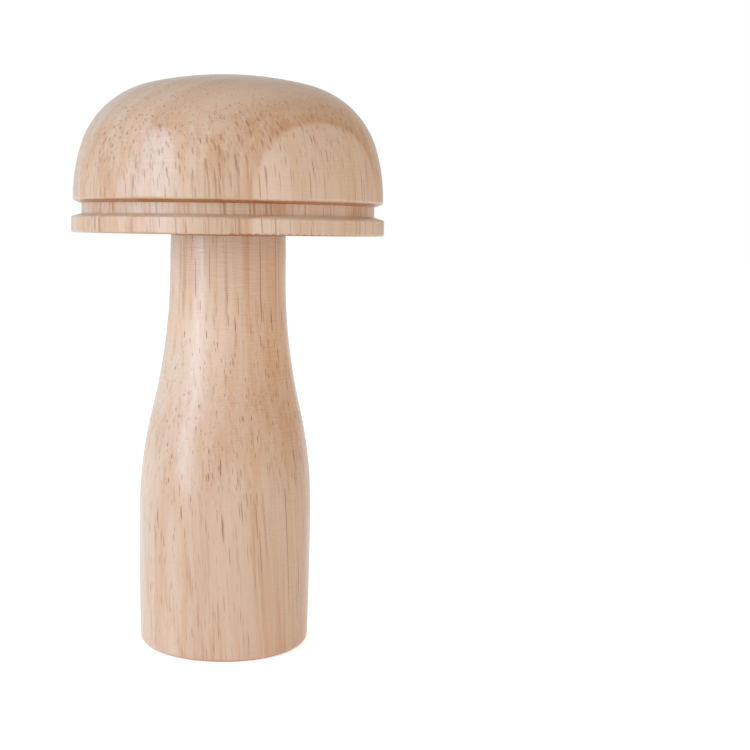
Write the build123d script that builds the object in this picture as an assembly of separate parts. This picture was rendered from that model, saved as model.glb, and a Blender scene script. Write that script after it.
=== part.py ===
from build123d import *
from math import atan2, degrees, hypot, radians, sqrt, tan
import os

# Darning mushroom. A domed head with a groove for an elastic band is joined by a glued dowel to a
# turned handle, and the foot of the handle is hollowed out to hold a pincushion of combed wool.
# Lengths are in millimetres and angles in degrees. The foot stands on height 0 and +Z is up.

# Handle, turned from one blank
handle_length = 98.9         # from the foot to the seat under the head
neck_top_diameter = 27.7
neck_diameter = 28.0         # where the flare begins
neck_length = 8.9            # from the seat down to where the flare begins
bulge_diameter = 41.7        # the fullest part of the grip
bulge_height = 32.5
flare_hollow_share = 0.58    # share of the flare that is hollow before it turns full
foot_diameter = 40.7
neck_edge_bevel = 0.3

# Rim and hollow in the handle's foot
foot_outer_round = 1.5
rim_land_width = 0.6         # the flat ring that the mushroom stands on
rim_inner_round = 1.5
hollow_depth = 12.0

# Head, turned from a second blank
flange_diameter = 75.0       # the disc below the groove, the widest place
flange_thickness = 3.8
flange_edge_round = 0.5
groove_mouth_width = 3.8
groove_floor_width = 2.4
groove_depth = 2.4           # inwards from the edge of the flange
dome_diameter = 74.3
dome_height = 30.2           # from the groove to the crown
dome_lip_height = 0.9        # upright edge above the groove
dome_lip_round = 0.8
dome_side_radius = 42.0
dome_shoulder_radius = 21.5
dome_crown_radius = 82.2

# Fluted dowel that joins the two
dowel_diameter = 10.0
dowel_length = 40.0          # half in the handle and half in the head
dowel_end_bevel = 1.0
flute_count = 18
flute_depth = 0.35
flute_cutter_radius = 0.5
glue_gap = 0.05              # between dowel and bore, all round
bore_spare_depth = 1.0       # room for glue past each end of the dowel
drill_point_angle = 118.0

# Pincushion of wool fleece
pad_gap = 0.2                # between the wool and the wood
pad_inset = 0.5              # the crown stays this far inside the standing plane
pad_crown = 2.2              # how far the middle swells past the edge
pad_edge_round = 2.5
pad_inner_bevel = 1.0

HEAD_SEAT = handle_length
FOOT_RADIUS = foot_diameter / 2
HOLLOW_RADIUS = FOOT_RADIUS - foot_outer_round - rim_land_width - rim_inner_round


def turned(outline, rounds):
    """Spin a closed outline of (radius, height) edges about Z, after rounding the named corners."""
    section = make_face(outline)
    for corner, radius in rounds:
        section = fillet(section.vertices().sort_by_distance(corner)[0], radius)
    return revolve(Plane.XZ * section, Axis.Z)


def outer_meeting_point(centre_a, radius_a, centre_b, radius_b):
    """The point farther from the axis where two circles in the outline's plane cross."""
    apart = hypot(centre_b[0] - centre_a[0], centre_b[1] - centre_a[1])
    along = (radius_a**2 - radius_b**2 + apart**2) / (2 * apart)
    aside = sqrt(radius_a**2 - along**2)
    way = ((centre_b[0] - centre_a[0]) / apart, (centre_b[1] - centre_a[1]) / apart)
    foot = (centre_a[0] + along * way[0], centre_a[1] + along * way[1])
    return foot[0] + aside * way[1], foot[1] - aside * way[0]


def dome_arcs(widest_height, top_height):
    """Side, shoulder and crown of the dome as three arcs, each tangent to the next."""
    side_centre = (dome_diameter / 2 - dome_side_radius, widest_height)
    crown_centre = (0, top_height - dome_crown_radius)
    shoulder_centre = outer_meeting_point(
        crown_centre,
        dome_crown_radius - dome_shoulder_radius,
        side_centre,
        dome_side_radius - dome_shoulder_radius,
    )
    side_end = degrees(atan2(shoulder_centre[1] - side_centre[1], shoulder_centre[0] - side_centre[0]))
    crown_start = degrees(atan2(shoulder_centre[1] - crown_centre[1], shoulder_centre[0]))
    return [
        CenterArc(side_centre, dome_side_radius, 0, side_end),
        CenterArc(shoulder_centre, dome_shoulder_radius, side_end, crown_start - side_end),
        CenterArc(crown_centre, dome_crown_radius, crown_start, 90 - crown_start),
    ]


def drilled_bore(seat_height, direction):
    """A blind dowel bore from the seat, up for direction 1 or down for -1, with a drill's point."""
    bore_radius = dowel_diameter / 2 + glue_gap
    bore_end = seat_height + direction * (dowel_length / 2 + bore_spare_depth)
    point_end = bore_end + direction * bore_radius / tan(radians(drill_point_angle / 2))
    corners = [(0, seat_height), (bore_radius, seat_height), (bore_radius, bore_end), (0, point_end)]
    return turned(Polyline(*corners, close=True), [])


def make_handle():
    """Neck, S-shaped flare, full grip and the rim round the hollow foot."""
    neck_top = (neck_top_diameter / 2, handle_length - neck_edge_bevel)
    seat_edge = (neck_top_diameter / 2 - neck_edge_bevel, handle_length)
    flare_top = (neck_diameter / 2, handle_length - neck_length)
    bulge = (bulge_diameter / 2, bulge_height)
    foot_corner = (FOOT_RADIUS, 0)
    mouth_corner = (HOLLOW_RADIUS, 0)
    # Where the hollow arc of the flare turns into the full one, on the line between their far ends
    turn = tuple(a + flare_hollow_share * (b - a) for a, b in zip(flare_top, bulge))
    down = (0, -1)
    up = (0, 1)
    outline = [
        Polyline((0, hollow_depth), (0, handle_length), seat_edge, neck_top),
        TangentArc(flare_top, neck_top, tangent=up),
        TangentArc(flare_top, turn, tangent=down),
        TangentArc(bulge, turn, tangent=up),
        TangentArc(bulge, foot_corner, tangent=down),
        Polyline(foot_corner, mouth_corner, (HOLLOW_RADIUS, hollow_depth), (0, hollow_depth)),
    ]
    rounds = [(foot_corner, foot_outer_round), (mouth_corner, rim_inner_round)]
    return turned(outline, rounds) - drilled_bore(HEAD_SEAT, -1)


def make_head():
    """Flange disc, elastic groove with sloping walls, and the dome."""
    flange_top = HEAD_SEAT + flange_thickness
    lip_height = flange_top + groove_mouth_width
    top_height = lip_height + dome_height
    wall_slope = (groove_mouth_width - groove_floor_width) / 2
    flange_radius = flange_diameter / 2
    floor_radius = flange_radius - groove_depth
    flange_low = (flange_radius, HEAD_SEAT)
    flange_high = (flange_radius, flange_top)
    floor_low = (floor_radius, flange_top + wall_slope)
    floor_high = (floor_radius, lip_height - wall_slope)
    lip = (dome_diameter / 2, lip_height)
    widest = (dome_diameter / 2, lip_height + dome_lip_height)
    outline = [
        Polyline((0, top_height), (0, HEAD_SEAT), flange_low, flange_high),
        Polyline(flange_high, floor_low, floor_high, lip, widest),
        *dome_arcs(widest[1], top_height),
    ]
    rounds = [
        (flange_low, flange_edge_round),
        (flange_high, flange_edge_round),
        (lip, dome_lip_round),
    ]
    return turned(outline, rounds) - drilled_bore(HEAD_SEAT, 1)


def make_dowel_pin():
    """A dowel pin with bevelled ends and straight flutes that let the glue and the air out."""
    radius = dowel_diameter / 2
    cutter_place = radius + flute_cutter_radius - flute_depth
    section = Circle(radius) - PolarLocations(cutter_place, flute_count) * Circle(flute_cutter_radius)
    base = HEAD_SEAT - dowel_length / 2
    fluted = extrude(Plane.XY.offset(base) * section, dowel_length)
    blank = Pos(0, 0, HEAD_SEAT) * Cylinder(radius, dowel_length)
    blank = chamfer(blank.edges().filter_by(GeomType.CIRCLE), dowel_end_bevel)
    return fluted & blank


def make_wool_pincushion():
    """The packed wool: flat against the wood, crowned where the pins go in, and rounded between."""
    radius = HOLLOW_RADIUS - pad_gap
    inner = hollow_depth - pad_gap
    edge = (radius, pad_inset + pad_crown)
    bevel = [(radius, inner - pad_inner_bevel), (radius - pad_inner_bevel, inner)]
    outline = [
        TangentArc((0, pad_inset), edge, tangent=(1, 0)),
        Polyline(edge, *bevel, (0, inner), (0, pad_inset)),
    ]
    return turned(outline, [(edge, pad_edge_round)])


os.makedirs("parts", exist_ok=True)
pieces = {
    "handle": make_handle(),
    "head": make_head(),
    "dowel_pin": make_dowel_pin(),
    "wool_pincushion": make_wool_pincushion(),
}
for node, piece in pieces.items():
    export_step(piece, f"parts/{node}.step")
    box = piece.bounding_box()
    print(node, "volume", round(piece.volume, 1), "height", round(box.min.Z, 2), "to", round(box.max.Z, 2))
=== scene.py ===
from math import radians

import bpy
import numpy as np
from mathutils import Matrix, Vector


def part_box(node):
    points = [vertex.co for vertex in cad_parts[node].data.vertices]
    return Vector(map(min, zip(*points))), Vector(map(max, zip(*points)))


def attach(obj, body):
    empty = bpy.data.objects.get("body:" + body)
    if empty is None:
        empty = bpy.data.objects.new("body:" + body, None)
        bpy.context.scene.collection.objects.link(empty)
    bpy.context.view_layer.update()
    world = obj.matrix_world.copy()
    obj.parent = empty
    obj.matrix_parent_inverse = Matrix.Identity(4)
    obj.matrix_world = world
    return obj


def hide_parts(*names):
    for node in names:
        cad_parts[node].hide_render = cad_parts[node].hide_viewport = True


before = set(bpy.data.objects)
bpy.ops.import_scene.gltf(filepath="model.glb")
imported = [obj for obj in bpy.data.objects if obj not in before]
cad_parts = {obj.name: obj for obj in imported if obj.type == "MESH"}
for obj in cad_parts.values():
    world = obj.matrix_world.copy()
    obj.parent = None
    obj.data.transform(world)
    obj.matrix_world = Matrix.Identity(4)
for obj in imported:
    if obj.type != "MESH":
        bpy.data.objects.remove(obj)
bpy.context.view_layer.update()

# ---------------------------------------------------------------------------------------------
# Handle. A straight neck that swells into a full grip, turned between centres from one blank of
# rubberwood with the grain lengthwise, sanded, and finished with a clear satin lacquer. The CAD
# node has its true shape, so it stays and gets the wood.

PER_METRE = 1000.0   # object coordinates are metres, and every pattern below is in millimetres
SHARE, FIRST, SECOND, MIXED = 0, 6, 7, 2   # the sockets of a Mix node that mixes two colours


def linear(hex_colour):
    """An sRGB hex colour as linear RGBA: c / 12.92 up to 0.04045, else ((c + 0.055) / 1.055) ^ 2.4."""
    srgb = np.array([int(hex_colour[i:i + 2], 16) / 255 for i in (1, 3, 5)])
    rgb = np.where(srgb <= 0.04045, srgb / 12.92, ((srgb + 0.055) / 1.055) ** 2.4)
    return (*rgb.tolist(), 1.0)


def add_node(tree, kind, inputs=None, tones=(), **options):
    """Add one shader node. Options are its properties; inputs are values, or sockets to link to it.

    Tones are the stops of a colour ramp, each a position and a hex colour.
    """
    node = tree.nodes.new(kind)
    for option, value in options.items():
        setattr(node, option, value)
    for socket, value in (inputs or {}).items():
        if isinstance(value, bpy.types.NodeSocket):
            tree.links.new(value, node.inputs[socket])
        else:
            node.inputs[socket].default_value = value
    if tones:
        stops = node.color_ramp.elements
        while len(stops) < len(tones):
            stops.new(0.5)
        for stop, (position, colour) in zip(stops, tones):
            stop.position = position
            stop.color = linear(colour)
    return node


def fibre_place(tree, place, blank):
    """Millimetres in the log with Z along the fibres, and how far each point is below the bend's start.

    The blank is turned and placed in the log. Noise then moves the fibres sideways by less than half
    of `sway`, and they lean by bend * (distance below the bend's start) ^ 2.
    """
    log = add_node(tree, "ShaderNodeMapping", {
        "Vector": place,
        "Location": blank["place"],
        "Rotation": [radians(angle) for angle in blank["turn"]],
        "Scale": (PER_METRE, PER_METRE, PER_METRE)}).outputs["Vector"]
    sway = add_node(tree, "ShaderNodeTexNoise", {
        "Vector": log, "Scale": 1 / blank["sway_length"], "Detail": 1.0}).outputs["Color"]
    swayed = add_node(tree, "ShaderNodeVectorMath", {
        0: sway, 1: (blank["sway"], blank["sway"], 0.0), 2: log}, operation="MULTIPLY_ADD").outputs[0]
    height = add_node(tree, "ShaderNodeSeparateXYZ", {0: log}).outputs["Z"]
    below = add_node(tree, "ShaderNodeMath", {
        0: blank["bend_start"], 1: height}, operation="SUBTRACT").outputs[0]
    fall = add_node(tree, "ShaderNodeMath", {0: below, 1: 0.0}, operation="MAXIMUM").outputs[0]
    squared = add_node(tree, "ShaderNodeMath", {0: fall, 1: 2.0}, operation="POWER").outputs[0]
    bent = add_node(tree, "ShaderNodeVectorMath", {
        0: (*blank["bend"], 0.0), "Scale": squared}, operation="SCALE").outputs[0]
    fibres = add_node(tree, "ShaderNodeVectorMath", {0: swayed, 1: bent}, operation="ADD").outputs[0]
    return fibres, below


def vessel_depth(tree, fibres, kind, fullness, core, showing):
    """How strongly one kind of vessel shows at each point: a cell pattern drawn out along the fibres.

    Cells are spaced by (2 radius / (row * count)) ^ (1 / 3), so that a cut across the grain meets
    `count` vessels on a square millimetre. Each is `row` times as long across the layers as along
    them, at full strength in its `core`, and gone at its edge.
    """
    radius, row, half_length, count, strength = kind
    smallest, largest = 0.6, 1.05
    spacing = (2 * radius / row / count) ** (1 / 3)
    share = radius / spacing
    place = add_node(tree, "ShaderNodeVectorMath", {
        0: fibres, 1: (1 / spacing / row, 1 / spacing, share / half_length)},
        operation="MULTIPLY").outputs[0]
    cells = add_node(tree, "ShaderNodeTexVoronoi", {"Vector": place, "Scale": 1.0, "Randomness": 1.0})
    own = add_node(tree, "ShaderNodeSeparateColor", {"Color": cells.outputs["Color"]}).outputs[0]
    size = add_node(tree, "ShaderNodeMapRange", {
        "Value": own, "To Min": smallest * share, "To Max": largest * share}).outputs["Result"]
    reach = add_node(tree, "ShaderNodeMath", {0: size, 1: fullness}, operation="MULTIPLY").outputs[0]
    ratio = add_node(tree, "ShaderNodeMath", {
        0: cells.outputs["Distance"], 1: reach}, operation="DIVIDE").outputs[0]
    vessel = add_node(tree, "ShaderNodeMapRange", {
        "Value": ratio, "From Min": 1.0, "From Max": core, "To Max": strength},
        interpolation_type="SMOOTHSTEP").outputs["Result"]
    return add_node(tree, "ShaderNodeMath", {0: vessel, 1: showing}, operation="MULTIPLY").outputs[0]


def lacquered_rubberwood(name, blank):
    """Rubberwood under clear satin lacquer, cut from the place in the log that `blank` gives.

    To the eye it is a pale warm brown with darker streaks and brown vessels, a wide soft highlight
    from the satin lacquer, and orange end grain. Growth layers are arcs round the pith, and fibres and
    vessels run along Z. A vessel is a long cell, so the lathe's cut shows it as a line on an upright
    side, as a dash on a slope and as a dot on end grain, as in the real wood.
    """
    material = bpy.data.materials.new(name)
    material.use_nodes = True
    tree = material.node_tree
    shader = tree.nodes["Principled BSDF"]
    where = add_node(tree, "ShaderNodeTexCoord")
    fibres, below = fibre_place(tree, where.outputs["Object"], blank)

    # Growth: the distance from the pith, so that each layer is a wide arc. Beside it, the place for
    # the layers' noise changes 17 times more slowly round the pith and 50 times along the fibres.
    level = add_node(tree, "ShaderNodeVectorMath", {
        0: fibres, 1: (1.0, 1.0, 0.0)}, operation="MULTIPLY").outputs[0]
    growth = add_node(tree, "ShaderNodeVectorMath", {
        0: level, 1: (-blank["pith_distance"], 0.0, 0.0)}, operation="DISTANCE").outputs["Value"]
    along = add_node(tree, "ShaderNodeVectorMath", {
        0: fibres, 1: (0.0, 0.06, 0.02)}, operation="MULTIPLY").outputs[0]
    across = add_node(tree, "ShaderNodeCombineXYZ", {"X": growth}).outputs[0]
    layer_place = add_node(tree, "ShaderNodeVectorMath", {
        0: along, 1: across}, operation="ADD").outputs[0]
    layers = add_node(tree, "ShaderNodeTexNoise", {
        "Vector": layer_place, "Scale": 1 / blank["layer_width"], "Detail": 3.0, "Roughness": 0.6})
    tone = add_node(tree, "ShaderNodeValToRGB", {"Fac": layers.outputs["Fac"]}, blank["tones"])

    # The outermost layer, pale and with few vessels, and the thin darker line at its boundary
    boundary = blank["pith_distance"] + blank["outer_layer"]
    boundary_width, line_width, line_strength = 0.8, 1.4, 0.3
    outer = add_node(tree, "ShaderNodeMapRange", {
        "Value": growth, "From Min": boundary, "From Max": boundary + boundary_width},
        interpolation_type="SMOOTHSTEP").outputs["Result"]
    pale = add_node(tree, "ShaderNodeMix", {
        SHARE: outer, FIRST: tone.outputs["Color"], SECOND: linear(blank["outer_tone"])},
        data_type="RGBA").outputs[MIXED]
    nearing = add_node(tree, "ShaderNodeMapRange", {
        "Value": growth, "From Min": boundary - line_width, "From Max": boundary},
        interpolation_type="SMOOTHSTEP").outputs["Result"]
    inside = add_node(tree, "ShaderNodeMath", {0: 1.0, 1: outer}, operation="SUBTRACT").outputs[0]
    line = add_node(tree, "ShaderNodeMath", {0: nearing, 1: inside}, operation="MULTIPLY").outputs[0]
    line_share = add_node(tree, "ShaderNodeMath", {
        0: line, 1: line_strength}, operation="MULTIPLY").outputs[0]
    colour = add_node(tree, "ShaderNodeMix", {
        SHARE: line_share, FIRST: pale, SECOND: linear(blank["line_tone"])},
        data_type="RGBA").outputs[MIXED]

    # How far a face lies along the grain: 1 on an upright side, 0 on end grain
    facing = add_node(tree, "ShaderNodeSeparateXYZ", {0: where.outputs["Normal"]}).outputs["Z"]
    steep = add_node(tree, "ShaderNodeMath", {0: facing}, operation="ABSOLUTE").outputs[0]
    upright = add_node(tree, "ShaderNodeMapRange", {
        "Value": steep, "From Min": 0.8, "From Max": 0.3},
        interpolation_type="SMOOTHSTEP").outputs["Result"]

    # Vessels show at 0.65 of their strength on end grain and at 0.95 on upright sides. A cut along the
    # fibres shows their edge sharper than a slanting cut, with full strength in the inner 0.72 of
    # their radius instead of 0.47.
    showing = add_node(tree, "ShaderNodeMath", {
        0: upright, 1: 0.3, 2: 0.65}, operation="MULTIPLY_ADD").outputs[0]
    plumb = add_node(tree, "ShaderNodeMapRange", {
        "Value": steep, "From Min": 0.22, "From Max": 0.05},
        interpolation_type="SMOOTHSTEP").outputs["Result"]
    core = add_node(tree, "ShaderNodeMath", {
        0: plumb, 1: 0.25, 2: 0.47}, operation="MULTIPLY_ADD").outputs[0]
    # They are fuller in some layers than in others, and fill out towards the outer layer, from 45 to
    # 10 mm before it. In it they are thinner by a fifth.
    crowding = add_node(tree, "ShaderNodeTexNoise", {
        "Vector": layer_place, "Scale": 1 / blank["layer_width"] / 1.7, "Detail": 2.0})
    crowd = add_node(tree, "ShaderNodeMapRange", {
        "Value": crowding.outputs["Fac"],
        "From Min": 0.35, "From Max": 0.6, "To Min": 0.65, "To Max": 1.1}).outputs["Result"]
    sparse = add_node(tree, "ShaderNodeMath", {
        0: outer, 1: -0.22, 2: 1.0}, operation="MULTIPLY_ADD").outputs[0]
    rich = add_node(tree, "ShaderNodeMapRange", {
        "Value": growth, "From Min": boundary - 45.0, "From Max": boundary - 10.0,
        "To Min": blank["inner_fullness"], "To Max": 1.15},
        interpolation_type="SMOOTHSTEP").outputs["Result"]
    share_here = add_node(tree, "ShaderNodeMath", {
        0: rich, 1: sparse}, operation="MULTIPLY").outputs[0]
    fullness = add_node(tree, "ShaderNodeMath", {
        0: crowd, 1: share_here}, operation="MULTIPLY").outputs[0]
    hollows = [vessel_depth(tree, fibres, kind, fullness, core, showing) for kind in blank["vessels"]]
    for hollow in hollows:
        colour = add_node(tree, "ShaderNodeMix", {
            SHARE: hollow, FIRST: colour, SECOND: linear(blank["vessel_tone"])},
            data_type="RGBA").outputs[MIXED]

    # Streaks a few millimetres wide, and finer ones that the noise splits into fibres of 0.1 mm. Only
    # the grain's long side shows them, and they are half as strong in the pale outer layer.
    plain = add_node(tree, "ShaderNodeMath", {
        0: outer, 1: -0.5, 2: 1.0}, operation="MULTIPLY_ADD").outputs[0]
    streaked = add_node(tree, "ShaderNodeMath", {0: plain, 1: upright}, operation="MULTIPLY").outputs[0]
    lightest = (1.02, 1.03, 1.04, 1.0)
    for width, length, lowest, highest, darkest in blank["streaks"]:
        streak_place = add_node(tree, "ShaderNodeMapping", {
            "Vector": fibres, "Rotation": (0.0, 0.0, radians(33)),
            "Scale": (1 / width, 1.2 / width, 1 / length)}).outputs["Vector"]
        streak = add_node(tree, "ShaderNodeTexNoise", {
            "Vector": streak_place, "Scale": 1.0, "Detail": 3.0, "Roughness": 0.7,
            "Lacunarity": 2.2}).outputs["Fac"]
        streak_share = add_node(tree, "ShaderNodeMapRange", {
            "Value": streak, "From Min": highest, "From Max": lowest}).outputs["Result"]
        streak_here = add_node(tree, "ShaderNodeMath", {
            0: streak_share, 1: streaked}, operation="MULTIPLY").outputs[0]
        streak_tint = add_node(tree, "ShaderNodeMix", {
            SHARE: streak_here, FIRST: lightest, SECOND: (*darkest, 1.0)},
            data_type="RGBA").outputs[MIXED]
        colour = add_node(tree, "ShaderNodeVectorMath", {
            0: colour, 1: streak_tint}, operation="MULTIPLY").outputs[0]

    # Painted shade: the wood is painted darker towards the blank's lower end, from 15 to 60 mm below the
    # bend's start, so that the grip, which gets more light than the neck under the head, is no brighter
    # than the neck
    painted_shade_share = add_node(tree, "ShaderNodeMapRange", {
        "Value": below, "From Min": 15.0, "From Max": 60.0},
        interpolation_type="SMOOTHSTEP").outputs["Result"]
    painted_shade_tint = add_node(tree, "ShaderNodeMix", {
        SHARE: painted_shade_share, FIRST: (1.0, 1.0, 1.0, 1.0), SECOND: (*blank["painted_low_shade"], 1.0)},
        data_type="RGBA").outputs[MIXED]
    colour = add_node(tree, "ShaderNodeVectorMath", {
        0: colour, 1: painted_shade_tint}, operation="MULTIPLY").outputs[0]

    # End grain that faces down drinks more lacquer and turns orange, with speckles of 0.3 mm
    downward = add_node(tree, "ShaderNodeMapRange", {
        "Value": facing, "From Min": -0.35, "From Max": -0.95},
        interpolation_type="SMOOTHSTEP").outputs["Result"]
    speckle = add_node(tree, "ShaderNodeTexNoise", {
        "Vector": fibres, "Scale": 1 / 0.3, "Detail": 2.0, "Roughness": 0.8}).outputs["Fac"]
    speckled = add_node(tree, "ShaderNodeMapRange", {
        "Value": speckle,
        "From Min": 0.36, "From Max": 0.60, "To Min": 0.62, "To Max": 1.12}).outputs["Result"]
    end_tint = add_node(tree, "ShaderNodeVectorMath", {
        0: linear(blank["end_tone"])[:3], "Scale": speckled}, operation="SCALE").outputs[0]
    colour = add_node(tree, "ShaderNodeMix", {
        SHARE: downward, FIRST: colour, SECOND: end_tint},
        data_type="RGBA", blend_type="MULTIPLY").outputs[MIXED]
    tree.links.new(colour, shader.inputs["Base Color"])

    # The larger vessels stay as shallow hollows under the lacquer, and the finer streaks as ribs.
    # Sanding on the lathe leaves marks round the axis. Real ones are under 0.1 mm high, too fine to
    # show, so these are 0.45 mm high and 4 mm long.
    mark_height, mark_length, mark_strength = 0.45, 4, 2.8
    hollow_strength = -0.4
    opened = add_node(tree, "ShaderNodeMath", {
        0: hollows[0], 1: hollows[1]}, operation="MAXIMUM").outputs[0]
    lathe_place = add_node(tree, "ShaderNodeMapping", {
        "Vector": where.outputs["Object"],
        "Scale": (PER_METRE / mark_length, PER_METRE / mark_length, PER_METRE / mark_height)})
    marks = add_node(tree, "ShaderNodeTexNoise", {
        "Vector": lathe_place.outputs["Vector"], "Scale": 1.0, "Detail": 2.0}).outputs["Fac"]
    marked = add_node(tree, "ShaderNodeMath", {
        0: marks, 1: mark_strength, 2: streak}, operation="MULTIPLY_ADD").outputs[0]
    relief = add_node(tree, "ShaderNodeMath", {
        0: opened, 1: hollow_strength, 2: marked}, operation="MULTIPLY_ADD").outputs[0]
    bump = add_node(tree, "ShaderNodeBump", {
        "Height": relief, "Strength": 0.5, "Distance": 0.1 / PER_METRE})
    tree.links.new(bump.outputs["Normal"], shader.inputs["Normal"])
    shader.inputs["Roughness"].default_value = 0.5
    shader.inputs["IOR"].default_value = 1.5
    shader.inputs["Coat Weight"].default_value = 1.0
    shader.inputs["Coat Roughness"].default_value = 0.25
    return material


# Lengths are in millimetres and angles in degrees. X in the log points away from the pith, which is
# pith_distance behind the log's origin. The pale outermost layer starts outer_layer in front of it,
# farther out than the handle reaches.
handle_blank = {
    "place": (31.0, -18.0, 240.0),
    "turn": (0.0, 1.0, 60.0),
    "sway": 0.9,
    "sway_length": 60.0,
    "bend": (0.0002, -0.0004),
    "bend_start": 340.0,
    # painted shade that darkens the lower handle, to even out the light between neck and grip
    "painted_low_shade": (0.89, 0.84, 0.81),
    "pith_distance": 130.0,
    "layer_width": 9.0,
    "tones": [(0.30, "#c59f83"), (0.44, "#caaa8f"), (0.58, "#cfb49b")],
    "outer_layer": 90.0,
    "outer_tone": "#cdb098",
    "line_tone": "#b5815c",
    "inner_fullness": 1.0,
    # Radius, how many times as long across the layers, half length, number on a square millimetre of
    # end grain, and strength. Real vessels are about 0.1 mm in radius. The largest are drawn 1.6 times
    # as large here and 2.5 times in the head, with soft edges, so that they show.
    "vessels": [(0.16, 1.6, 70.0, 0.29, 0.9), (0.11, 1.5, 40.0, 1.0, 0.65), (0.07, 1.4, 20.0, 1.7, 0.5)],
    "vessel_tone": "#83450f",
    # Width, length, lowest and highest value of the noise, and how the darkest streak tints the wood
    "streaks": [(4.0, 90.0, 0.38, 0.56, (0.97, 0.88, 0.78)), (1.2, 50.0, 0.33, 0.47, (0.83, 0.76, 0.68))],
    "end_tone": "#e09d46",
}
handle_wood = lacquered_rubberwood("rubberwood_handle_satin_lacquer", handle_blank)
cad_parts["handle"].material_slots[0].material = handle_wood

# ---------------------------------------------------------------------------------------------
# Head. The dome, its elastic groove and the flange disc, turned from a second blank of the same
# wood, from nearer the bark and with wider vessels. Its pale outermost layer shows as an arch on
# the front of the dome. The CAD node has its true shape, so it stays and gets the wood.

head_blank = handle_blank | {
    "place": (0.0, -10.0, -60.0),
    "turn": (0.0, 3.0, 48.0),
    "bend": (0.0, 0.0),
    "painted_low_shade": (1.0, 1.0, 1.0),
    "pith_distance": 60.0,
    "layer_width": 5.0,
    "tones": [(0.30, "#b99476"), (0.46, "#bd9b7e"), (0.60, "#c1a186")],
    "outer_tone": "#c9ad97",
    "outer_layer": 38.2,
    "inner_fullness": 0.75,
    "vessels": [(0.25, 1.9, 16.0, 0.72, 0.56), (0.17, 1.8, 12.0, 1.25, 0.38), (0.08, 1.5, 6.0, 2.0, 0.28)],
    "streaks": [(5.5, 90.0, 0.40, 0.54, (0.96, 0.83, 0.68)), (1.2, 40.0, 0.33, 0.47, (0.85, 0.79, 0.72))],
}
head_wood = lacquered_rubberwood("rubberwood_head_satin_lacquer", head_blank)
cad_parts["head"].material_slots[0].material = head_wood

# ---------------------------------------------------------------------------------------------
# Dowel pin. A bought fluted pin of bare beech, glued half in the handle and half in the head, so
# none of it shows when the two are together.

# Bare beech is dry and dull, pinkish brown, with straight fibres and short brown ray flecks. The noise
# splits streaks of 1.5 by 36 mm into finer fibres. A fleck is the middle of a cell of 1.1 by 7 mm, about
# 0.4 by 2.5 mm.
fibre_streak, fibre_length = 1.5, 36
fleck_spacing, fleck_length = 1.1, 7
beech = bpy.data.materials.new("beech_dowel_unfinished")
beech.use_nodes = True
beech_tree = beech.node_tree
beech_shader = beech_tree.nodes["Principled BSDF"]
beech_place = add_node(beech_tree, "ShaderNodeTexCoord").outputs["Object"]
beech_fibres = add_node(beech_tree, "ShaderNodeMapping", {
    "Vector": beech_place,
    "Scale": (PER_METRE / fibre_streak, PER_METRE / fibre_streak, PER_METRE / fibre_length)})
beech_grain = add_node(beech_tree, "ShaderNodeTexNoise", {
    "Vector": beech_fibres.outputs["Vector"], "Scale": 1.0, "Detail": 4.0, "Roughness": 0.6})
beech_flecks = add_node(beech_tree, "ShaderNodeMapping", {
    "Vector": beech_place,
    "Scale": (PER_METRE / fleck_spacing, PER_METRE / fleck_spacing, PER_METRE / fleck_length)})
beech_cells = add_node(beech_tree, "ShaderNodeTexVoronoi", {
    "Vector": beech_flecks.outputs["Vector"], "Scale": 1.0})
fleck = add_node(beech_tree, "ShaderNodeMapRange", {
    "Value": beech_cells.outputs["Distance"], "From Min": 0.24, "From Max": 0.12, "To Max": 0.6})
beech_tone = add_node(beech_tree, "ShaderNodeMix", {
    SHARE: beech_grain.outputs["Fac"], FIRST: linear("#b98a5e"), SECOND: linear("#d9b48c")},
    data_type="RGBA")
flecked = add_node(beech_tree, "ShaderNodeMix", {
    SHARE: fleck.outputs["Result"], FIRST: beech_tone.outputs[MIXED], SECOND: linear("#8a5a34")},
    data_type="RGBA")
beech_tree.links.new(flecked.outputs[MIXED], beech_shader.inputs["Base Color"])
beech_shader.inputs["Roughness"].default_value = 0.8
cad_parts["dowel_pin"].material_slots[0].material = beech

# ---------------------------------------------------------------------------------------------
# Wool pincushion. Pale yellow fleece, combed one way and packed into the hollow of the foot until
# it swells into a low crown. It is loose wool without a cover, so no cloth is simulated: the pad
# has the ridges that the comb leaves, and hairs of its own lie along them and fray at its edge.

pad_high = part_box("wool_pincushion")[1]
pad_radius = pad_high.x * PER_METRE
pad_top = pad_high.z * PER_METRE
pad_crown_height = 0.75          # the crown's lowest point above the standing plane
pad_swell = 2.0                  # how far the crown swells past the edge
pad_shoulder = 1.5               # radius of the puffy edge
pad_top_round = 1.0
comb_way = np.arctan2(0.83, 0.55)
# Ridges: width across the comb's way, length of a bend along it, size, and where the wave starts
ridge_waves = [
    (4.3, 31.0, 0.018, 0.3), (2.9, 23.0, 0.014, 2.1), (2.1, 27.0, 0.011, 4.4),
    (1.6, 17.0, 0.009, 1.2), (1.2, 21.0, 0.008, 5.3), (0.9, 14.0, 0.006, 3.6)]
ridge_bend = 0.35                # how far a ridge bends, in its own widths
ridge_painted_shade = -0.6                # painted shade: each millimetre of depth darkens the tone, so the comb's valleys are painted darker and yellower


def ridges(x, y):
    """Depth in mm that the comb left, a sum of bent waves across its way.

    Each is size * sin(2 pi (across / width + bend sin(2 pi along / length + start)) + start).
    """
    along = x * np.cos(comb_way) + y * np.sin(comb_way)
    across = y * np.cos(comb_way) - x * np.sin(comb_way)
    depth = 0.0
    for width, length, size, start in ridge_waves:
        bend = ridge_bend * np.sin(2 * np.pi * along / length + start)
        depth = depth + size * np.sin(2 * np.pi * (across / width + bend) + start)
    return depth


def crown(distance):
    """Height of the crown at a distance from the axis: lowest + swell * (distance / radius) ^ 2."""
    return pad_crown_height + pad_swell * (distance / pad_radius) ** 2


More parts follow.
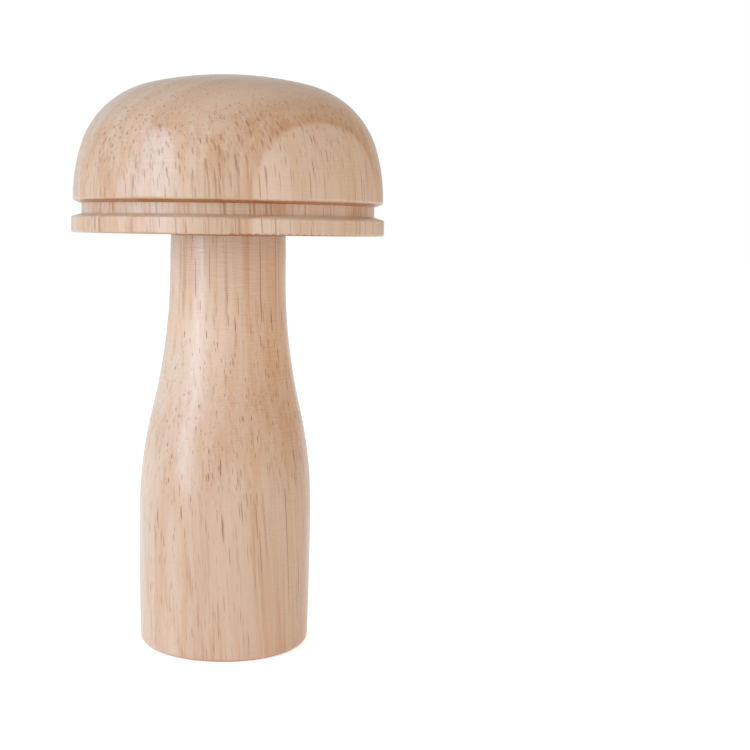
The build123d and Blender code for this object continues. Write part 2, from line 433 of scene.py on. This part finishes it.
def face_height(x, y):
    """Height of the pad's face: the crown, a quarter round at its edge, and the ridges fading there.

    With s = 0 to 1 over the edge, the quarter round adds shoulder * (1 - sqrt(1 - s^2)).
    """
    distance = np.hypot(x, y)
    edge = np.clip((distance - pad_radius + pad_shoulder) / pad_shoulder, 0.0, 1.0)
    return crown(distance) + pad_shoulder * (1 - np.sqrt(1 - edge**2)) + ridges(x, y) * (1 - edge**2)


def mesh_object(name, points, faces, tones, material):
    """A smooth-shaded piece from points in mm, with one wool tone for each point."""
    mesh = bpy.data.meshes.new(name)
    mesh.from_pydata((points / PER_METRE).tolist(), [], faces)
    tone = mesh.attributes.new("tone", "FLOAT", "POINT")
    tone.data.foreach_set("value", np.ravel(tones).astype(np.float32))
    mesh.polygons.foreach_set("use_smooth", np.ones(len(mesh.polygons), dtype=bool))
    mesh.materials.append(material)
    piece = bpy.data.objects.new(name, mesh)
    bpy.context.scene.collection.objects.link(piece)
    return piece


# Combed wool is soft, matt and pale yellow. Each point has its own tone, random on the hairs and on the
# pad a painted shade that darkens the comb's valleys; locks of yellower and paler wool lie over it along
# the comb's way, and a sheen stands for the fuzz of the finest hairs.
lock_size = (26, 5, 10)          # along the comb's way, across it, and in depth
lock_strength = 0.5
fleece = bpy.data.materials.new("combed_wool_pale_yellow")
fleece.use_nodes = True
fleece_tree = fleece.node_tree
fleece_shader = fleece_tree.nodes["Principled BSDF"]
wool_place = add_node(fleece_tree, "ShaderNodeTexCoord")
wool_locks = add_node(fleece_tree, "ShaderNodeMapping", {
    "Vector": wool_place.outputs["Object"], "Rotation": (0.0, 0.0, comb_way),
    "Scale": [size / PER_METRE for size in lock_size]}, vector_type="TEXTURE")
lock = add_node(fleece_tree, "ShaderNodeTexNoise", {
    "Vector": wool_locks.outputs["Vector"], "Scale": 1.0, "Detail": 4.0, "Roughness": 0.6})
own_tone = add_node(fleece_tree, "ShaderNodeAttribute", attribute_name="tone")
wool_tone = add_node(fleece_tree, "ShaderNodeMath", {
    0: lock.outputs["Fac"], 1: lock_strength, 2: own_tone.outputs["Fac"]}, operation="MULTIPLY_ADD")
wool_ramp = add_node(
    fleece_tree, "ShaderNodeValToRGB", {"Fac": wool_tone.outputs[0]},
    [(0.10, "#f3d995"), (0.40, "#f9e9aa"), (0.75, "#fdf3cd")])
fleece_tree.links.new(wool_ramp.outputs["Color"], fleece_shader.inputs["Base Color"])
fleece_shader.inputs["Roughness"].default_value = 0.9
fleece_shader.inputs["Specular IOR Level"].default_value = 0.2
fleece_shader.inputs["Sheen Weight"].default_value = 0.35
fleece_shader.inputs["Sheen Roughness"].default_value = 0.5
fleece_shader.inputs["Sheen Tint"].default_value = linear("#fff2c8")

# The pad, as rings from the middle of its face over the shoulder and up its side to the middle of
# its top. Every fourth step of the quarter circle is enough for the edge that lies in the hollow.
around = np.linspace(0.0, 2 * np.pi, 288, endpoint=False)
quarter = np.linspace(0.0, np.pi / 2, 17)[1:]
hidden_quarter = quarter[3::4]
face_rings = np.concatenate([
    np.linspace(0.0, pad_radius - pad_shoulder, 49)[1:],
    pad_radius - pad_shoulder + pad_shoulder * np.sin(quarter)])
face_x = face_rings[:, None] * np.cos(around)
face_y = face_rings[:, None] * np.sin(around)
back_radius = np.concatenate([
    [pad_radius],
    pad_radius - pad_top_round + pad_top_round * np.cos(hidden_quarter),
    [pad_radius / 2]])
back_height = np.concatenate([
    [pad_top - pad_top_round],
    pad_top - pad_top_round + pad_top_round * np.sin(hidden_quarter),
    [pad_top]])
ring_x = np.concatenate([face_x, back_radius[:, None] * np.cos(around)])
ring_y = np.concatenate([face_y, back_radius[:, None] * np.sin(around)])
ring_z = np.concatenate([face_height(face_x, face_y), np.repeat(back_height[:, None], len(around), 1)])
ring_points = np.stack([ring_x, ring_y, ring_z], -1).reshape(-1, 3)
pad_points = np.concatenate([
    [[0.0, 0.0, face_height(0.0, 0.0)]], ring_points, [[0.0, 0.0, pad_top]]])
this_one = np.arange(len(around))
next_one = np.roll(this_one, -1)
ring_starts = 1 + len(around) * np.arange(len(ring_x))[:, None]
lower, upper = ring_starts[:-1], ring_starts[1:]
walls = np.stack([
    lower + this_one, lower + next_one, upper + next_one, upper + this_one], -1).reshape(-1, 4)
last_ring, top_pole = ring_starts[-1, 0], len(pad_points) - 1
steps_round = list(zip(this_one.tolist(), next_one.tolist()))
pad_faces = walls.tolist()
pad_faces += [(0, 1 + after, 1 + here) for here, after in steps_round]
pad_faces += [(top_pole, last_ring + here, last_ring + after) for here, after in steps_round]
# The pad's tone at each point is painted shade: darker and yellower down in the comb's valleys
pad_painted_shade = ridge_painted_shade * ridges(pad_points[:, 0], pad_points[:, 1])
wool_pad = mesh_object("wool_pad", pad_points, pad_faces, pad_painted_shade, fleece)
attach(wool_pad, "root")
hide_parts("wool_pincushion")


def hair_mesh(x, y, z, thickness):
    """Closed three-sided tubes along rows of points, as (points, faces).

    Each ring is centre + radius * (cos a * side + sin a * lift), where side is across the hair and
    level, and the radius falls to about half at both ends, as sqrt(sin) of the way along.
    """
    centre = np.stack([x, y, z], -1)
    way = np.gradient(centre, axis=1)
    way = way / np.linalg.norm(way, axis=-1, keepdims=True)
    side = np.cross(way, (0.0, 0.0, 1.0))
    side = side / np.linalg.norm(side, axis=-1, keepdims=True)
    lift = np.cross(side, way)
    count, steps = x.shape
    taper = np.sin(np.linspace(0.1, 0.9, steps) * np.pi) ** 0.5
    radius = (thickness[:, None] * taper)[..., None, None] / 2
    angle = (np.arange(3) * 2 * np.pi / 3)[:, None]
    outwards = np.cos(angle) * side[:, :, None] + np.sin(angle) * lift[:, :, None]
    rings = centre[:, :, None] + radius * outwards
    first = 3 * steps * np.arange(count)[:, None, None] + 3 * np.arange(steps - 1)[:, None]
    here, after = np.arange(3), np.roll(np.arange(3), -1)
    sides = np.stack([
        first + here, first + after, first + after + 3, first + here + 3], -1).reshape(-1, 4)
    ends = 3 * steps * np.arange(count)[:, None]
    caps = np.concatenate([ends + [0, 2, 1], ends + 3 * (steps - 1) + [0, 1, 2]])
    return rings.reshape(-1, 3), sides.tolist() + caps.tolist()


def walk(start_radius, bearing, angles, length):
    """Level paths as (x, y), of equal steps: start + sum of (cos, sin) of each step's angle."""
    step = (length / (angles.shape[1] - 1))[:, None]
    x = (start_radius * np.cos(bearing))[:, None] + np.cumsum(np.cos(angles), 1) * step
    y = (start_radius * np.sin(bearing))[:, None] + np.cumsum(np.sin(angles), 1) * step
    return x, y


def drawn_in(x, y, furthest):
    """The same paths, with what lies farther out than `furthest` pulled straight in to it."""
    share = np.minimum(1.0, furthest / np.maximum(np.hypot(x, y), 1e-6))
    return x * share, y * share


def hair_piece(name, x, y, z, thickness, tone):
    """One piece of hairs that rides with the wool."""
    points, faces = hair_mesh(x, y, z, thickness)
    piece = mesh_object(name, points, faces, np.repeat(tone, 3 * x.shape[1]), fleece)
    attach(piece, "root")


# Real wool is 0.02 mm thick, and the hairs are drawn about twice as thick, so that they show at the
# photograph's scale. Each of the three sets of hairs gives lengths, thicknesses and radii as a range in
# millimetres, tones as mean and standard deviation, and spreads as standard deviations in radians.
chance = np.random.default_rng(11)

# Hairs that lie along the comb's way. Each turns and waves a little, its middle lies where it was
# placed, and its ends dip into the pad.
lying = 7000
hair_length, hair_thickness, hair_tone = (5.0, 13.0), (0.028, 0.045), (0.08, 0.045)
turn_spread, wave_spread, way_spread = 0.35, 0.20, 0.20
edge_margin, side_gap, standing_height = 0.3, 0.15, 0.06
run = np.linspace(-0.5, 0.5, 5)
middle = len(run) // 2
length = chance.uniform(*hair_length, lying)
start_radius = np.sqrt(chance.uniform(0.0, 1.0, lying)) * (pad_radius - edge_margin)
bearing = chance.uniform(0.0, 2 * np.pi, lying)
turning = chance.normal(0.0, turn_spread, (lying, 1))
waving = chance.normal(0.0, wave_spread, (lying, 1))
heading = comb_way + chance.normal(0.0, way_spread, (lying, 1))
wave = np.sin(3 * np.pi * run + chance.uniform(0.0, 2 * np.pi, (lying, 1)))
x, y = walk(start_radius, bearing, heading + turning * run + waving * wave, length)
x -= (x[:, middle] - start_radius * np.cos(bearing))[:, None]
y -= (y[:, middle] - start_radius * np.sin(bearing))[:, None]
x, y = drawn_in(x, y, pad_radius - side_gap)
standing_out = chance.uniform(0.0, standing_height, (lying, 1)) - standing_height * (2 * run) ** 2
hair_piece("wool_hairs_combed", x, y, face_height(x, y) - standing_out,
           chance.uniform(*hair_thickness, lying), chance.normal(*hair_tone, lying))

# Curled hairs that fray out of the edge and lie over the rim's inner rounding. The rounding is at
# round - sqrt(round^2 - (crest - r)^2), and a hair crosses the gap to it smoothly.
frayed = 1500
hair_length, hair_thickness, hair_tone = (0.8, 3.4), (0.025, 0.045), (0.16, 0.10)
hair_start, hair_reach = (14.2, 16.3), (16.4, 17.4)
way_spread, curl_spread = 0.8, 1.6
rim_round, rim_crest = 1.5, 18.25
bridge_start, bridge_length = 15.0, 1.9
wool_clearance, hair_clearance = 0.05, (0.06, 0.12)
run = np.linspace(0.0, 1.0, 7)
length = chance.uniform(*hair_length, frayed)
start_radius = chance.uniform(*hair_start, frayed)
bearing = chance.uniform(0.0, 2 * np.pi, frayed)
heading = bearing[:, None] + chance.normal(0.0, way_spread, (frayed, 1))
angles = heading + chance.normal(0.0, curl_spread, (frayed, 1)) * run
x, y = drawn_in(*walk(start_radius, bearing, angles, length), chance.uniform(*hair_reach, (frayed, 1)))
outward = np.hypot(x, y)
rim_height = rim_round - np.sqrt(np.clip(rim_round**2 - (rim_crest - outward) ** 2, 0.0, None))
bridge = np.clip((outward - bridge_start) / bridge_length, 0.0, 1.0)
bridge = bridge * bridge * (3 - 2 * bridge)
wool_height = crown(outward) + ridges(x, y) / 2 - wool_clearance
height = (1 - bridge) * wool_height + bridge * rim_height
hair_piece("wool_hairs_frayed", x, y, height - chance.uniform(*hair_clearance, (frayed, 1)),
           chance.uniform(*hair_thickness, frayed), chance.normal(*hair_tone, frayed))

# Hairs packed round the edge, between the pad and the wall of the hollow
tucked = 2400
hair_length, hair_thickness, hair_tone = (1.5, 4.5), (0.03, 0.05), (0.08, 0.10)
hair_start, hair_reach, hair_depth = (15.9, 16.6), (16.45, 16.68), (-0.1, 1.3)
way_spread, bend_inwards, curl_spread, dive_spread = 0.25, 0.2, 0.5, 0.3
length = chance.uniform(*hair_length, tucked)
start_radius = chance.uniform(*hair_start, tucked)
bearing = chance.uniform(0.0, 2 * np.pi, tucked)
heading = bearing[:, None] + np.pi / 2 + chance.normal(0.0, way_spread, (tucked, 1))
angles = heading + chance.normal(bend_inwards, curl_spread, (tucked, 1)) * run
x, y = drawn_in(*walk(start_radius, bearing, angles, length), chance.uniform(*hair_reach, (tucked, 1)))
depth = chance.uniform(*hair_depth, (tucked, 1)) + chance.normal(0.0, dive_spread, (tucked, 1)) * run
hair_piece("wool_hairs_tucked", x, y, crown(np.hypot(x, y)) + depth,
           chance.uniform(*hair_thickness, tucked), chance.normal(*hair_tone, tucked))

# ---------------------------------------------------------------------------------------------
# Studio. A floor of white paper under an even white surround, with one tall soft box at the front
# left. None of it is part of the object.

# Matt paper reflects nothing sharp, and its own faint light lifts it to the white of the surround
floor_half = 4.0
floor_drop = 0.00005            # just under the standing ring, so that the two faces don't coincide
paper_glow, paper_glow_seen = 0.34, 0.28   # its light on the object, and what the camera sees besides
floor_mesh = bpy.data.meshes.new("studio_floor")
floor_mesh.from_pydata(
    [(x * floor_half, y * floor_half, -floor_drop) for x, y in ((-1, -1), (1, -1), (1, 1), (-1, 1))],
    [], [(0, 1, 2, 3)])
floor = bpy.data.objects.new("studio_floor", floor_mesh)
bpy.context.scene.collection.objects.link(floor)
paper = bpy.data.materials.new("matt_white_paper")
paper.use_nodes = True
paper_tree = paper.node_tree
paper_shader = paper_tree.nodes["Principled BSDF"]
paper_shader.inputs["Base Color"].default_value = linear("#fcfcfb")
paper_shader.inputs["Roughness"].default_value = 0.9
paper_shader.inputs["Emission Color"].default_value = (0.96, 0.98, 1.0, 1.0)
paper_ray = add_node(paper_tree, "ShaderNodeLightPath")
glow = add_node(paper_tree, "ShaderNodeMath", {
    0: paper_ray.outputs["Is Camera Ray"], 1: paper_glow_seen, 2: paper_glow}, operation="MULTIPLY_ADD")
paper_tree.links.new(glow.outputs[0], paper_shader.inputs["Emission Strength"])
# Seen from below, the floor isn't there, so that the foot can be looked at in the surround's light
paper_side = add_node(paper_tree, "ShaderNodeNewGeometry")
passed = add_node(paper_tree, "ShaderNodeMath", {
    0: paper_side.outputs["Backfacing"], 1: paper_ray.outputs["Transparent Depth"]},
    operation="ADD", use_clamp=True)
clear = add_node(paper_tree, "ShaderNodeBsdfTransparent")
one_sided = add_node(paper_tree, "ShaderNodeMixShader", {
    0: passed.outputs[0], 1: paper_shader.outputs[0], 2: clear.outputs[0]})
paper_tree.links.new(one_sided.outputs[0], paper_tree.nodes["Material Output"].inputs["Surface"])
floor_mesh.materials.append(paper)

# The surround is lighter near the floor and in front than above and behind, and warmer to the right.
# The camera sees it plain white.
surround = bpy.data.worlds.new("white_surround")
surround.use_nodes = True
sky = surround.node_tree
sky.nodes.clear()
direction = add_node(sky, "ShaderNodeTexCoord")
bearings = add_node(sky, "ShaderNodeSeparateXYZ", {0: direction.outputs["Generated"]})
dimmer = add_node(sky, "ShaderNodeMapRange", {
    "Value": bearings.outputs["Z"], "From Min": 0.0, "From Max": 0.7, "To Min": 1.14, "To Max": 0.66})
frontal = add_node(sky, "ShaderNodeMapRange", {
    "Value": bearings.outputs["Y"], "From Min": -1.0, "From Max": 1.0, "To Min": 1.35, "To Max": 0.68})
strength = add_node(sky, "ShaderNodeMath", {
    0: dimmer.outputs["Result"], 1: frontal.outputs["Result"]}, operation="MULTIPLY")
warmer = add_node(sky, "ShaderNodeMapRange", {
    "Value": bearings.outputs["X"], "From Min": 0.0, "From Max": 1.0})
room = add_node(sky, "ShaderNodeMix", {
    SHARE: warmer.outputs["Result"], FIRST: (0.98, 0.99, 1.0, 1.0), SECOND: (0.74, 0.52, 0.30, 1.0)},
    data_type="RGBA")
light = add_node(sky, "ShaderNodeBackground", {
    "Color": room.outputs[MIXED], "Strength": strength.outputs[0]})
white = add_node(sky, "ShaderNodeBackground", {"Color": (1.0, 1.0, 1.0, 1.0), "Strength": 1.0})
ray = add_node(sky, "ShaderNodeLightPath")
seen = add_node(sky, "ShaderNodeMixShader", {
    0: ray.outputs["Is Camera Ray"], 1: light.outputs[0], 2: white.outputs[0]})
add_node(sky, "ShaderNodeOutputWorld", {"Surface": seen.outputs[0]})
bpy.context.scene.world = surround

# The soft box gives the pale streak down the left of the handle and the one on the dome
box_light = bpy.data.lights.new("soft_box", "AREA")
box_light.shape = "RECTANGLE"
box_light.size = 0.45
box_light.size_y = 1.1
box_light.energy = 5.4
box_light.color = (0.67, 0.89, 1.18)
soft_box = bpy.data.objects.new("soft_box", box_light)
bpy.context.scene.collection.objects.link(soft_box)
soft_box.location = (-0.78, -0.49, 0.28)
soft_box.rotation_euler = (radians(78.0), 0.0, radians(-57.9))

# ---------------------------------------------------------------------------------------------
# Camera. It stands 1.7 mm above the seam of head and handle and looks down a little, as the
# ellipses of the flange, the groove and the foot in the photograph say.

camera_tilt, camera_roll, camera_turn = 3.6, -0.85, -3.11
camera_data = bpy.data.cameras.new("camera")
camera_data.sensor_width = 36.0
camera_data.lens = 62.95
camera_data.shift_x = 0.1
camera_data.shift_y = -0.0856
camera = bpy.data.objects.new("camera", camera_data)
bpy.context.scene.collection.objects.link(camera)
camera.location = (0.0, -0.318, 0.1006)
camera.rotation_mode = "XYZ"
camera.rotation_euler = (radians(90.0 - camera_tilt), radians(camera_roll), radians(camera_turn))
bpy.context.scene.camera = camera
bpy.context.scene.view_settings.view_transform = "Standard"
